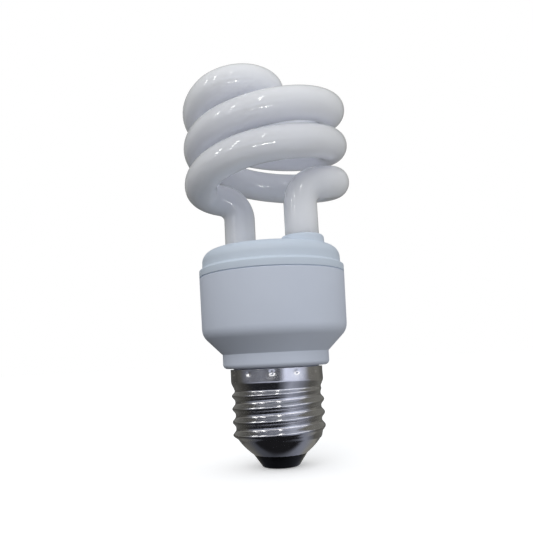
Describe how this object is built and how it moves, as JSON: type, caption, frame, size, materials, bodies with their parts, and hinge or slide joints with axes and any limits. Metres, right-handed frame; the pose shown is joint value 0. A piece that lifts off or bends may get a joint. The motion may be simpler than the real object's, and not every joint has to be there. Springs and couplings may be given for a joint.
{
  "type": "spiral fluorescent lamp",
  "caption": "Compact fluorescent lamp: a white glass double spiral on a round plastic ballast housing with an E27 screw cap.",
  "frame": {"origin": "on the lamp's axis, on the face of the centre contact", "axes": "+Z along the axis from the cap to the crown of the spiral; the two straight legs of the tube stand on X"},
  "size_m": [0.0494, 0.0494, 0.1137],
  "materials": {
    "coated_glass": "glossy glass, opaque white coating inside",
    "white_plastic": "satin moulded plastic, cool white",
    "nickel_plate": "bright nickel plate, slightly worn",
    "black_glass": "glossy black fused glass",
    "contact_brass": "solder-wiped brass",
    "board_laminate": "brown laminate",
    "ferrite": "matt dark ferrite",
    "winding_copper": "enamelled copper wire",
    "can_sleeve": "plain dark sleeve",
    "film_case": "dipped red-brown resin",
    "black_epoxy": "black epoxy",
    "resistor_body": "beige lacquer",
    "diac_glass": "blue lacquered glass",
    "tinned_metal": "tinned wire",
    "cement": "dull white cement",
    "wire_cover": "white wire cover"
  },
  "bodies": {
    "root": {"discharge_tube": "coated_glass", "tube_cover": "white_plastic", "ballast_housing": "white_plastic", "screw_shell": "nickel_plate", "cap_insulator": "black_glass", "centre_contact": "contact_brass", "ballast_board": "board_laminate", "choke_core": "ferrite", "choke_winding": "winding_copper", "bulk_capacitor": "can_sleeve", "resonant_capacitor": "film_case", "blocking_capacitor": "film_case", "drive_toroid": "ferrite", "toroid_windings": "winding_copper", "power_transistors": "black_epoxy", "rectifier_diodes": "black_epoxy", "base_resistors": "resistor_body", "fuse_resistor": "resistor_body", "trigger_diac": "diac_glass", "wrap_pins": "tinned_metal", "tube_leads": "tinned_metal", "tube_cement": "cement", "line_wire": "wire_cover", "neutral_wire": "wire_cover"}
  },
  "joints": []
}
